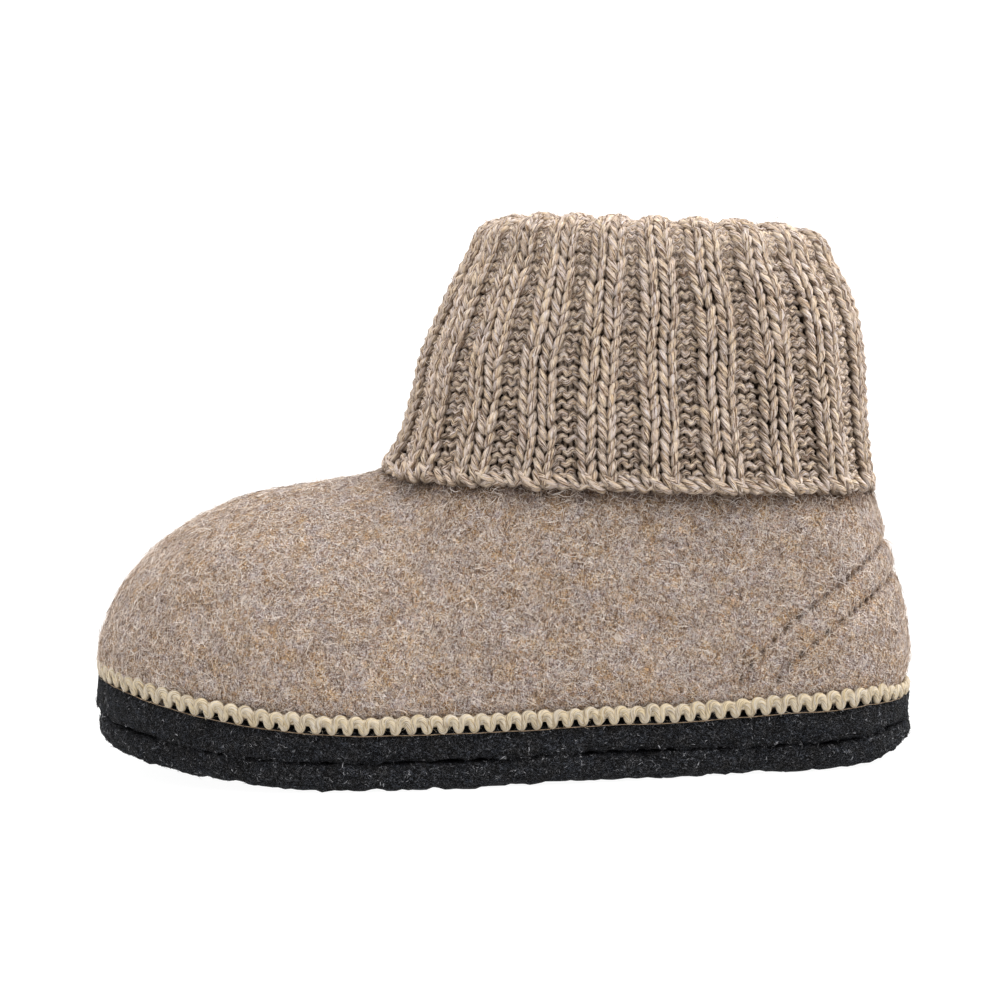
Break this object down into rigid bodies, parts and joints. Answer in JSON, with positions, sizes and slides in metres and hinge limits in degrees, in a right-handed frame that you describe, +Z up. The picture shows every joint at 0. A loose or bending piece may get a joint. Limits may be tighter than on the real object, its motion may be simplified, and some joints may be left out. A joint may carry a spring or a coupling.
{
  "type": "slipper",
  "caption": "Ankle-high felted wool slipper boot for the left foot with a thick layered felt sole, a yarn edging over the join and a ribbed knitted cuff turned down.",
  "frame": {"origin": "centre of the bounding box in plan, on the floor the sole stands on", "axes": "+Z up, -X towards the toe, -Y towards the outer side of a left foot"},
  "size_m": [0.2516, 0.0996, 0.1683],
  "materials": {
    "sole_felt": "coarse matte felt",
    "upper_felt": "fuzzy matte felted wool, mixed fibres",
    "trim_yarn": "matte wool yarn",
    "insole_felt": "matte felt",
    "cuff_knit": "matte knitted wool, mixed fibres"
  },
  "bodies": {
    "root": {"outsole": "sole_felt", "midsole": "sole_felt", "upper": "upper_felt", "edge_trim": "trim_yarn", "insole": "insole_felt", "cuff": "cuff_knit"}
  },
  "joints": []
}
